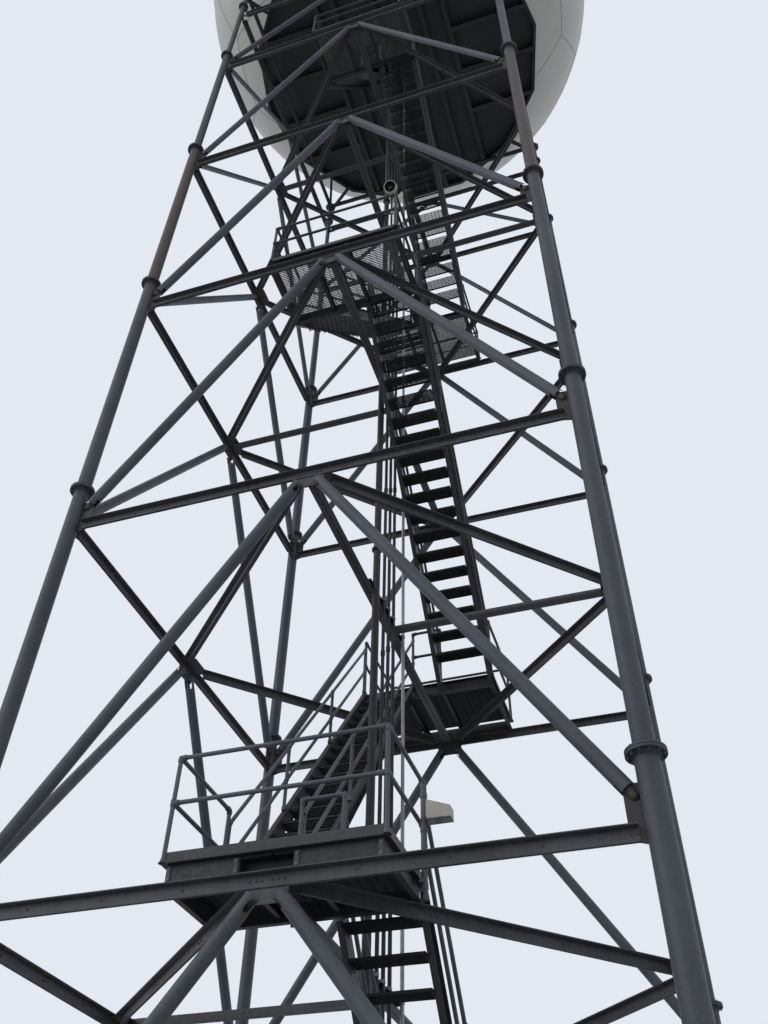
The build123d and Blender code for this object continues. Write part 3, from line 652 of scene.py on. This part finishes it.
# ---- plan bracing: pairs of angles back to back, with packing plates and bolts
def angle_pair(piece, start, end, foot, height, width, packings, flange_up=False, cope=0.0):
    """Two angles back to back between level points, their flanges at the foot or at the head."""
    a, b = Vector(start), Vector(end)
    run = (b - a).normalized()
    side = Vector((-run.y, run.x, 0))
    axes = (run, side, z_way)
    middle, length = (a + b) / 2, (b - a).length
    spread, web = (width - pair_gap) / 2, height - angle_leg
    flange_z = foot + (height - angle_leg / 2 if flange_up else angle_leg / 2)
    web_up = up_by(foot + web / 2 + (0 if flange_up else angle_leg))
    for hand in (-1, 1):
        place = middle + side * hand * (pair_gap + angle_leg) / 2 + web_up
        piece.turned_box(place, (length - 2 * cope, angle_leg, web), axes)
        place = middle + side * hand * (width - spread) / 2 + up_by(flange_z)
        piece.turned_box(place, (length, spread, angle_leg), axes)
    for along in packings:
        spot = a + run * (along if along > 0 else length + along) + web_up
        piece.turned_box(spot, (0.06, pair_gap, web - 0.004), axes)
        for beside in (-0.018, 0.018):
            for hand in (-1, 1):
                head = spot + run * beside + side * hand * (pair_gap / 2 + angle_leg)
                piece.bolt(head, side * hand, 0.0058, 1)
    for along in (0.022, 0.05, length - 0.05, length - 0.022):
        for hand in (-1, 1):
            spot = a + run * along + side * hand * width * 0.32
            if flange_up:
                piece.bolt(spot + up_by(foot + height), z_way, 0.0062, 1)
            piece.bolt(spot + up_by(flange_z - angle_leg / 2), (0, 0, -1), 0.0062, 1)


outward = plan_bar_shift / sqrt(2)
near_end = (plan_bar_end + outward, plan_bar_end - outward - half, 0)
side_end = (half - plan_bar_end + outward, -plan_bar_end - outward, 0)
reach, beside = cross_beam_reach, cross_beam_width / 2 + fit
for level in range(storeys):
    plan = Piece(f"plan_angles_{level + 1}")
    top = horizontal_tops[level]
    bar = (top - plan_bar_drop - plan_bar_height, plan_bar_height, plan_bar_width)
    beam = (top - cross_beam_height, cross_beam_height, cross_beam_width)
    for quarter in range(4):
        first = len(plan.verts)
        angle_pair(plan, side_end, near_end, *bar, (0.7, -0.7), True, plan_bar_cope)
        plan.turn(quarter, first)
    arm = (-reach, cross_beam_x - beside) if level % 2 == 0 else (cross_beam_x + beside, reach)
    angle_pair(plan, (cross_beam_x, -reach, 0), (cross_beam_x, reach, 0), *beam, (0.8, -0.8))
    angle_pair(plan, (arm[0], 0, 0), (arm[1], 0, 0), *beam, (0.75,))
    plan.build([angle_steel, dark_bolt], (f"plan_bracing_{level + 1}",))


# ---- platforms: channel frames with open gratings
def bar_places(low, high, pitch, bar):
    """Middles of bars from edge to edge, about a pitch apart."""
    count = round((high - low) / pitch)
    return [low + bar / 2 + (high - low - bar) * i / count for i in range(count + 1)]


def add_grating(piece, low, high, top):
    """Bearing bars on edge, cross bars between them, and a banding bar at each end."""
    (x0, y0), (x1, y1) = low, high
    bar, foot = grating_bar, top - grating_depth
    for y in bar_places(y0, y1, grating_pitch, bar):
        piece.box((x0, y - bar / 2, foot), (x1, y + bar / 2, top))
    for x in bar_places(x0, x1, grating_cross_pitch, bar):
        piece.box((x - bar / 2, y0, top - grating_depth * 0.45), (x + bar / 2, y1, top - 0.0003))
    for x in (x0, x1 - bar):
        piece.box((x, y0, foot), (x + bar, y1, top))


def add_ring(piece, low, high, inset, width, foot, head, gate=None):
    """Four bars in a rectangle, inset from its edges; the near bar leaves a gate open."""
    x0, y0, x1, y1 = low[0] + inset, low[1] + inset, high[0] - inset, high[1] - inset
    for a, b in ((x0, gate[0]), (gate[1], x1)) if gate else ((x0, x1),):
        piece.box((a, y0, foot), (b, y0 + width, head))
    piece.box((x0, y1 - width, foot), (x1, y1, head))
    for x in (x0, x1 - width):
        piece.box((x, y0 + width, foot), (x + width, y1 - width, head))


def platform_span(level):
    return (near_edge, platform_rear) if level % 2 == 0 else (landing_front, far_edge)


for level in range(storeys):
    y0, y1 = platform_span(level)
    foot = horizontal_tops[level]
    head = foot + walk_rise
    web_foot, web_head = foot + channel_web, head - channel_web
    channels = Piece(f"platform_frame_{level + 1}")
    edges = ((platform_left, y0), (platform_right, y1))
    web_inset = channel_flange - channel_web
    add_ring(channels, *edges, 0, channel_flange, foot, web_foot)
    add_ring(channels, *edges, 0, channel_flange, web_head, head)
    add_ring(channels, *edges, web_inset, channel_web, web_foot, web_head, opening_x if level == 0 else None)
    face, away = (y0 + web_inset, -1) if level % 2 == 0 else (y1 - web_inset, 1)
    clip = sorted((face, face + away * channel_web))
    for x in (platform_left + 0.04, opening_x[0] - 0.012, opening_x[1] + 0.012, platform_right - 0.04):
        a, b = x - clip_half_width, x + clip_half_width
        channels.box((a, clip[0], foot + 0.008), (b, clip[1], head - 0.008), 1)
        for z in (foot + 0.026, head - 0.026):
            channels.bolt((x, face + away * channel_web, z), (0, away, 0), 0.0062, 2)
    if level == 0:
        (a, b), back = opening_x, face + opening_depth
        channels.box((a, back, web_foot), (b, back + channel_web, web_head))
        for x in (a, b - channel_web):
            channels.box((x, face, web_foot), (x + channel_web, back, web_head))
        channels.box((a, face, web_head), (b, back, head))
    a, b = y0 + channel_flange, y1 - channel_flange
    low, high = foot + 0.02, foot + channel_depth - 0.002
    for x in (opening_x[0] - 0.03, opening_x[1] + 0.004):
        channels.box((x, a, low), (x + channel_web, b, high))
        for z in (low, high - channel_web):
            channels.box((x + channel_web, a, z), (x + joist_flange, b, z + channel_web))
    channels.build([channel, gusset_steel, bolt_steel], (), bevel=0.0012)
    grid = Piece(f"platform_grating_{level + 1}")
    rear = b - (grating_slot if level % 2 == 1 else 0)
    left, right = platform_left + channel_flange, platform_right - channel_flange
    for x0, x1 in ((left, stair_axis_x - 0.002), (stair_axis_x + 0.002, right)):
        add_grating(grid, (x0, a), (x1, rear), head)
    grid.build([grating], (f"platform_{level + 1}",))


# ---- stairs
def flight_ends(level):
    """The (y, z) of a flight's foot and head, on the nosing line."""
    foot_y, head_y = (platform_rear, landing_front) if level % 2 == 0 else (landing_front, platform_rear)
    foot_z = horizontal_tops[0] + walk_rise + storey * level
    return (foot_y, foot_z), (head_y, foot_z + storey)


def slope_beam(piece, xa, xb, foot, head, low, high):
    """A sloped bar between two heights above the nosings, with upright ends."""
    outline = [(foot[0], foot[1] + low), (head[0], head[1] + low)]
    outline += [(head[0], head[1] + high), (foot[0], foot[1] + high)]
    piece.prism(outline, ((xa + xb) / 2, 0, 0), y_way, z_way, abs(xb - xa))


def add_tread(piece, x0, x1, nosing, facing, depth, top, pitch=tread_pitch):
    """A grating tread with a nosing bar and end plates."""
    y0, y1 = sorted((nosing, nosing + facing * depth))
    for y in bar_places(y0, y1, pitch, tread_bar):
        piece.box((x0, y - tread_bar / 2, top - tread_thickness), (x1, y + tread_bar / 2, top))
    count = round((x1 - x0) / tread_cross_pitch)
    for i in range(1, count):
        x = x0 + (x1 - x0) * i / count
        piece.box((x - tread_bar, y0, top - tread_thickness / 2), (x + tread_bar, y1, top - 0.0003))
    for x in (x0, x1 - 0.003):
        piece.box((x, y0, top - 0.026), (x + 0.003, y1, top))
    a, b = sorted((nosing, nosing + facing * 0.014))
    piece.box((x0, a, top - 0.0045), (x1, b, top))


def pipe_run(piece, points):
    """Rail pipes through points, with a ball at each bend."""
    for a, b in zip(points, points[1:]):
        piece.tube(a, b, rail_radius, 16)
    for p in points[1:-1]:
        piece.ball(p, rail_radius * 1.02)


def collar(piece, place, axis, length=0.026):
    """A slip-on sleeve round a rail pipe, with rounded rims."""
    low, high, h = rail_radius * 1.224, rail_radius * 1.32, length / 2
    profile = [(rail_radius, -h), (low, -h), (high, 0.002 - h), (high, h - 0.002), (low, h), (rail_radius, h)]
    piece.lathe(place, axis, profile, 16)


for level in range(-1, storeys - 1):
    foot, head = flight_ends(level)
    facing = 1 if head[0] > foot[0] else -1
    x_low, x_high = flight_left if level % 2 == 0 else flight_right
    web_low, web_high = x_low + stringer_flange, x_high - stringer_flange
    slope = (head[1] - foot[1]) / (head[0] - foot[0])
    run = Vector((0, head[0] - foot[0], head[1] - foot[1])).normalized()
    grounded = foot[1] < 0
    start = foot
    if grounded:
        rise = flight_clearance + stringer_height
        start = (foot[0] + (rise - foot[1]) / slope, rise)
    flight = Piece(f"stair_{level + 2}")
    rails = Piece(f"stair_rails_{level + 2}")
    low, high = stringer_lift - stringer_height, stringer_lift
    for web_x, outward in ((web_low, -1), (web_high, 1)):
        slope_beam(flight, web_x, web_x - outward * stringer_web, start, head, low, high)
        for z in (low, high - stringer_flange_thickness):
            flange = (web_x, web_x + outward * stringer_flange)
            slope_beam(flight, *flange, start, head, z, z + stringer_flange_thickness)
        x = web_x + outward * (stringer_flange - rail_radius)
        for height in (mid_handrail_height, handrail_height):
            pipe_run(rails, [(x, start[0], start[1] + height), (x, head[0], head[1] + height)])
        for share, inset in ((0.0, rail_radius), (0.33, 0), (0.66, 0), (1.0, -rail_radius)):
            y = foot[0] + (head[0] - foot[0]) * share + inset * facing
            z = foot[1] + slope * (y - foot[0])
            if z < 0.1:
                continue
            rails.tube((x, y, z + stringer_lift), (x, y, z + handrail_height), rail_radius, 16)
            for height in (mid_handrail_height, handrail_height):
                collar(rails, (x, y, z + height), run)
            collar(rails, (x, y, z + stringer_lift + 0.012), z_way, 0.024)
    treads = Piece(f"stair_treads_{level + 2}")
    for step in range(1, risers):
        nosing, top = (foot[k] + (head[k] - foot[k]) * step / risers for k in (0, 1))
        if top > flight_clearance:
            webs = (web_low + stringer_web, web_high - stringer_web)
            add_tread(treads, *webs, nosing, facing, tread_depth, top)
    if grounded:
        for piece in (flight, rails):
            piece.verts = [(x, y, max(z, 0.0)) for x, y, z in piece.verts]
    flight.build([stair], (f"flight_{level + 2}",), bevel=0.001)
    treads.build([grating], ())
    # Flights above the first take the darker rail copy, which is painted shade
    rails.build([rail if level < 1 else rail_painted_shade], ())

# ---- top ladder
ladder = Piece("ladder_sides")
ladder_foot = (platform_rear, horizontal_tops[4] + walk_rise)
for x, inward in ((ladder_low, 1), (ladder_high, -1)):
    web = (x, x + inward * stringer_web)
    slope_beam(ladder, *web, ladder_foot, ladder_head, stringer_lift - ladder_height, stringer_lift)
ladder.build([stair], ("top_ladder",), bevel=0.001)
rungs = Piece("ladder_treads")
ladder_webs = (ladder_low + stringer_web, ladder_high - stringer_web)
for step in range(1, ladder_risers):
    nosing, top = (a + (b - a) * step / ladder_risers for a, b in zip(ladder_foot, ladder_head))
    add_tread(rungs, *ladder_webs, nosing, 1, ladder_tread_depth, top, ladder_tread_pitch)
rungs.build([grating], ())

# ---- railings
post_foot = [(0.021, 0), (0.021, 0.003), (0.015, 0.003), (0.0145, 0.02), (0.011, 0.021)]
xl, xr = platform_left + rail_radius, platform_right - rail_radius
guard_low = flight_left[1] - stringer_flange + rail_radius
guard_high = flight_right[0] + stringer_flange - rail_radius
for level in range(storeys):
    y0, y1 = platform_span(level)
    inward = 1 if level % 2 == 0 else -1
    outer, inner = (y0, y1) if inward == 1 else (y1, y0)
    yo, yi = outer + inward * rail_radius, inner - inward * rail_radius
    z0 = horizontal_tops[level] + walk_rise
    railing = Piece(f"railing_pipes_{level + 1}")
    toes = Piece(f"toe_plates_{level + 1}")
    for z in (z0 + mid_rail_height, z0 + rail_height):
        pipe_run(railing, [(xl, yi, z), (xl, yo, z), (xr, yo, z), (xr, yi, z)])
        pipe_run(railing, [(guard_low, yi, z), (guard_high, yi, z)])
        for x, hand in ((xl, joint_offset), (xr, -joint_offset)):
            collar(railing, (x + hand, yo, z), x_way, 0.02)
            for y in (yo + inward * joint_offset, yi - inward * joint_offset):
                collar(railing, (x, y, z), y_way, 0.02)
        for x in (guard_low + joint_offset, guard_high - joint_offset):
            collar(railing, (x, yi, z), x_way, 0.02)
    for x, y in ((xl, yo), (xr, yo), (xl, yi), (xr, yi), (guard_low, yi), (guard_high, yi)):
        railing.tube((x, y, z0), (x, y, z0 + rail_height), rail_radius, 16)
        railing.lathe((x, y, z0), z_way, post_foot, 16)
        railing.ball((x, y, z0 + rail_height), rail_radius * 1.25)
        collar(railing, (x, y, z0 + mid_rail_height), z_way, 0.034)
        collar(railing, (x, y, z0 + rail_height - 0.012), z_way, 0.02)
    t, head = toe_thickness / 2, z0 + toe_height
    if level % 2 == 0:
        toes.box((platform_left, yo - t, z0), (platform_right, yo + t, head))
    for x in (xl, xr):
        toes.box((x - t, y0 + 0.005, z0), (x + t, y1 - 0.005, head))
    # Railings above the first platform take the darker rail copy, which is painted shade
    railing.build([rail if level == 0 else rail_painted_shade], (f"railing_{level + 1}",))
    toes.build([toe_steel], (), bevel=0.001)

# ---- radome
ball_z = deck_top + sqrt(radome_radius**2 - radome_base_radius**2)
ball_radius = radome_radius - 0.006
base_turn = acos((deck_top - ball_z) / ball_radius)
bands, gores = 56, 96
shell = Piece("radome_skin")
for radius, slot in ((ball_radius, 0), (ball_radius - skin_thickness, 1)):
    verts, faces = [], []
    for band in range(bands + 1):
        turn = base_turn * band / bands
        reach, z = radius * sin(turn), max(ball_z + radius * cos(turn), deck_top)
        arounds = [2 * pi * gore / gores for gore in range(gores)]
        verts += [(reach * cos(around), reach * sin(around), z) for around in arounds]
    for band in range(bands):
        for i, j in neighbours(gores):
            a, b = band * gores + i, band * gores + j
            faces.append((a, a + gores, b + gores, b) if slot == 0 else (b, b + gores, a + gores, a))
    shell.add(verts, faces, True, slot)
# The skin's inner face wears the near-black deck steel: painted shade for the dark inside of the radome
shell.build([radome_panel, deck], ("radome",))


# Seams between the radome's hexagons and pentagons: the panel centres are the 12 corners and the
# 30 edge middles of an icosahedron, and each seam runs between two of the 80 corners of the panels
def between(*points):
    """The point of the unit ball amid some others."""
    return sum(points, Vector()).normalized()


golden = (1 + sqrt(5)) / 2
hubs = []
for p in (-1, 1):
    for q in (-golden, golden):
        hubs += [between(Vector(hub)) for hub in ((0, p, q), (p, q, 0), (q, 0, p))]
near_hubs = [[j for j in range(12) if j != i and hubs[i].dot(hubs[j]) > 0.4] for i in range(12)]
seam_lines = []
for i, hub in enumerate(hubs):
    for j in near_hubs[i]:
        shared = [k for k in near_hubs[i] if k in near_hubs[j]]
        mid_j = between(hub, hubs[j])
        corners = []
        for k in shared:
            mid_k = between(hub, hubs[k])
            corners.append(between(hub, mid_j, mid_k))
            if j < k:
                seam_lines.append((between(mid_j, mid_k, between(hubs[j], hubs[k])), corners[-1]))
        seam_lines.append(corners)
radome_turn = Matrix.Rotation(radians(-118.7), 3, "Z") @ Matrix.Rotation(radians(30.55), 3, "Y")
radome_turn = radome_turn @ Matrix.Rotation(radians(-138.6), 3, "Z")
seams = Piece("radome_seams")
seam_faces = [(0, 1, 3, 2), (4, 6, 7, 5), (0, 4, 5, 1), (2, 3, 7, 6), (0, 2, 6, 4), (1, 5, 7, 3)]
for start, end in seam_lines:
    a, b = radome_turn @ start, radome_turn @ end
    edge = a.cross(b).normalized() * seam_width / 2
    points = [a.lerp(b, i / 8).normalized() for i in range(9)]
    for p, q in zip(points, points[1:]):
        if min(p.z, q.z) * ball_radius + ball_z < deck_top + 0.01:
            continue
        reaches = (ball_radius - 0.002, ball_radius + seam_rise)
        spots = [up_by(ball_z) + spot * reach for reach in reaches for spot in (p, q)]
        seams.add([spot + edge * hand for spot in spots for hand in (-1, 1)], seam_faces)
seams.build([seam], ())

# ---- riser and conduits: couplings, flanges and pipe clamps
riser = Piece("riser_run")
riser.tube((riser_x, riser_place, pipe_foot), (riser_x, riser_place, joist_top), riser_radius, 32)
lip = riser_flange - 0.002
rims = [(riser_radius, 0.008), (riser_flange, 0.008), (riser_flange, 0.001), (lip, 0.001)]
for level in flange_levels[:storeys]:
    riser.lathe((riser_x, riser_place, level), z_way, [(r, -h) for r, h in rims] + rims[::-1], 32)
    for i in range(6):
        turn = 2 * pi * i / 6
        spot = (riser_x + 0.0315 * cos(turn), riser_place + 0.0315 * sin(turn))
        for hand in (1, -1):
            riser.bolt((*spot, level + hand * 0.008), (0, 0, hand), 0.0045, 1)
riser.build([riser_steel, bolt_steel], ("riser_pipe",))
lines = Piece("conduit_lines")
x, radius = bracket_edge + fit + conduit_radius, conduit_radius
for i, y in enumerate(conduit_places):
    slot = 1 if i == 3 else 0
    lines.tube((x, y, pipe_foot), (x, y, joist_top), radius, 20, slot)
    for step in range(9):
        z = 1.15 + step * 1.55 + i * 0.11
        lines.band((x, y, z), z_way, radius, radius + 0.0035, 0.04, 0.001, 20, slot)
    for z in (top + 0.006 for top in horizontal_tops[:storeys]):
        lines.band((x, y, z), z_way, radius + 0.0005, radius + 0.003, 0.018, 0, 20, 2)
        for hand in (-1, 1):
            lines.turned_box((x - radius / 2, y + hand * (radius + 0.007), z), (radius, 0.014, 0.016), slot=2)
lines.build([conduit_steel, bright_conduit, bolt_steel], ("conduits",))

# ---- floodlight on its pole, by the first platform
pole_x, pole_y, pole_foot = platform_right + 0.0183, platform_rear - 0.1, horizontal_tops[0]
pole_radius, pole_height = 0.015, 0.575
flood = Piece("floodlight_pole")
flood.tube((pole_x, pole_y, pole_foot), (pole_x, pole_y, pole_foot + pole_height), pole_radius)
sleeves = ((0.06, 0.003, 0.03), (0.33, 0.003, 0.022), (0.505, 0.003, 0.026), (0.572, 0.0025, 0.008))
for z, grow, tall in sleeves:
    flood.band((pole_x, pole_y, pole_foot + z), z_way, pole_radius, pole_radius + grow, tall, 0.002)
for z in (0.04, 0.085):
    flood.turned_box((pole_x - 0.01, pole_y, pole_foot + z), (0.018, 0.044, 0.016), slot=1)
flood.build([rail, bolt_steel], ("floodlight",))
flood_head = Piece("floodlight_head")
lamp_z = pole_foot + 0.365
body = [(0.02, 0.006), (0.136, 0.004), (0.14, 0.01), (0.14, 0.06)]
body += [(0.134, 0.065), (0.024, 0.106), (0.018, 0.102)]
rim = [(0.018, 0.0), (0.14, 0.0), (0.14, 0.008), (0.018, 0.01)]
for outline, width, slot in ((body, 0.056, 0), (rim, 0.06, 1)):
    outline = [(pole_x + p, lamp_z + q) for p, q in outline]
    flood_head.prism(outline, (0, pole_y, 0), x_way, z_way, width, slot)
flood_head.turned_box((pole_x + 0.018, pole_y, lamp_z + 0.056), (0.012, 0.04, 0.07), slot=2)
flood_head.build([lamp_box, lens, bolt_steel], (), bevel=0.002)

# ---- lamps on the riser
lamp_back = riser_place - riser_radius - fit
drum_z, tube_arm_z, tube_foot_z = 10.044, 9.68, 9.586
drum_offset = 0.084
tube_arm_offset = 0.122 + (tube_arm_z - tube_foot_z) * tan(radians(9.9))
arms = Piece("riser_lamp_arms")
for z, offset, arm_reach in ((drum_z, drum_offset, 0.084), (tube_arm_z, tube_arm_offset, 0.036)):
    middle, length = riser_x + (offset - riser_radius) / 2, offset + riser_radius
    arms.turned_box((middle, lamp_back - 0.004, z), (length, 0.008, 0.026))
    arms.turned_box((riser_x + offset, lamp_back - arm_reach / 2, z), (0.02, arm_reach, 0.02))
    arms.band((riser_x, riser_place, z), z_way, riser_radius, riser_radius + 0.003, 0.02, slot=1)
    arms.bolt((riser_x + offset, lamp_back - 0.008, z + 0.008), z_way, 0.0055, 1)
arms.build([riser_steel, bolt_steel], ())
lamps = Piece("riser_lamp_heads")
drum_foot = Vector((riser_x + drum_offset, lamp_back - 0.078, drum_z))
drum_tilt, tube_tilt = radians(50), radians(16)
drum_way = Vector((0, -sin(drum_tilt), -cos(drum_tilt)))
drum = [(0, 0), (0.046, 0), (0.064, 0.008), (0.07, 0.022)]
drum += [(0.07, 0.066), (0.068, 0.07), (0.06, 0.07), (0.058, 0.066)]
lamps.lathe(drum_foot, drum_way, drum, 36, 2)
# The drum's inner bowl wears the near-black deck steel: painted shade inside the lamp
lamps.lathe(drum_foot, drum_way, [(0.058, 0.066), (0.054, 0.03), (0.04, 0.014), (0, 0.01)], 36, 3)
lamps.lathe(drum_foot, drum_way, [(0, 0.044), (0.014, 0.04), (0.018, 0.03), (0.014, 0.014)], 24, 1)
bulge = [(0, 0), (0.016, 0.001), (0.018, 0.012), (0.018, 0.04), (0.024, 0.052), (0.028, 0.11)]
bulge += [(0.03, 0.2), (0.028, 0.3), (0.022, 0.352), (0.016, 0.362), (0.016, 0.392)]
bulge += [(0.012, 0.401), (0, 0.402)]
tube_foot = Vector((riser_x + 0.08, lamp_back - 0.038, tube_foot_z))
lamps.lathe(tube_foot, Vector((sin(tube_tilt), 0, cos(tube_tilt))), bulge, 28)
lamps.build([lamp_cream, lens, lamp_box, deck], ("riser_lamps",))

# Small ball lamp on a post at the third platform's near rail
post = Vector((-0.054, near_edge + 0.011, 0))
post_radius, post_top = 0.007, 7.64
ball_lamp = Piece("ball_lamp")
ball_lamp.tube(post + up_by(horizontal_tops[2] + walk_rise), post + up_by(post_top), post_radius, 14)
ball_lamp.ball(post + up_by(post_top + 0.022), 0.027, 1, 24, 14)
cup = [(post_radius, 0), (0.014, 0.002), (0.017, 0.012), (0.012, 0.014)]
ball_lamp.lathe(post + up_by(post_top - 0.01), z_way, cup, 20)
ball_lamp.build([rail, channel], ())

# ---- camera
yaw, pitch, roll = radians(-18.816), radians(44.072), radians(1.237)
camera_place = Vector((1.737, -5.303, 0.46))
forward = Vector((sin(yaw) * cos(pitch), cos(yaw) * cos(pitch), sin(pitch)))
level_right = Vector((cos(yaw), -sin(yaw), 0))
level_up = level_right.cross(forward)
right = level_right * cos(roll) + level_up * sin(roll)
up = level_up * cos(roll) - level_right * sin(roll)
lens_pixels, long_side, sensor_width = 960.1, 1024, 36.0
camera = bpy.data.objects.new("camera", bpy.data.cameras.new("camera"))
camera.data.sensor_width = sensor_width
camera.data.lens = lens_pixels / long_side * sensor_width
camera.data.clip_end = 500.0
camera.matrix_world = Matrix.Translation(camera_place) @ Matrix((right, up, -forward)).transposed().to_4x4()
scene.collection.objects.link(camera)
scene.camera = camera

# ---- studio
scene.view_settings.view_transform = "Standard"


def looked_at(tree):
    """Is 1 for what the camera sees, straight, by gloss or through glass."""
    path = add_node(tree, "LightPath", {}).outputs
    either = times(path["Is Camera Ray"], path["Is Glossy Ray"], "MAXIMUM")
    return times(either, path["Is Transmission Ray"], "MAXIMUM")


reach, floor_z = 120.0, -0.001
floor_mesh = bpy.data.meshes.new("floor")
corners = [(x * reach, y * reach, floor_z) for x, y in ((-1, -1), (1, -1), (1, 1), (-1, 1))]
floor_mesh.from_pydata(corners, [], [(0, 1, 2, 3)])
floor = bpy.data.objects.new("floor", floor_mesh)
scene.collection.objects.link(floor)
material, shader, coord = material_base("floor")
tree = shader.id_data
blotch = ramp(noise(coord, 0.4), 0.3, 0.7)
pale = mix(blotch, (0.58, 0.59, 0.6), (0.62, 0.63, 0.64))
plain = mix(blotch, (0.3, 0.3, 0.3), (0.33, 0.33, 0.33))
tree.links.new(mix(looked_at(tree), plain, pale), shader.inputs["Base Color"])
shader.inputs["Roughness"].default_value = 0.9
floor_mesh.materials.append(material)

world = bpy.data.worlds.new("world")
scene.world = world
world.use_nodes = True
tree = world.node_tree
tree.nodes.clear()
lit = add_node(tree, "Background", {"Color": (0.9, 0.95, 1.0, 1.0), "Strength": 0.8})
seen = add_node(tree, "Background", {"Color": (0.78, 0.81, 0.88, 1.0), "Strength": 1.0})
sky = add_node(tree, "MixShader", {0: looked_at(tree), 1: lit.outputs[0], 2: seen.outputs[0]})
add_node(tree, "OutputWorld", {0: sky.outputs[0]})

sun = bpy.data.objects.new("soft_sun", bpy.data.lights.new("soft_sun", "SUN"))
sun.data.energy = 0.55
sun.data.angle = radians(40)
sun.data.color = (1.0, 0.98, 0.95)
sun.rotation_euler = (radians(62), 0, radians(-48))
scene.collection.objects.link(sun)
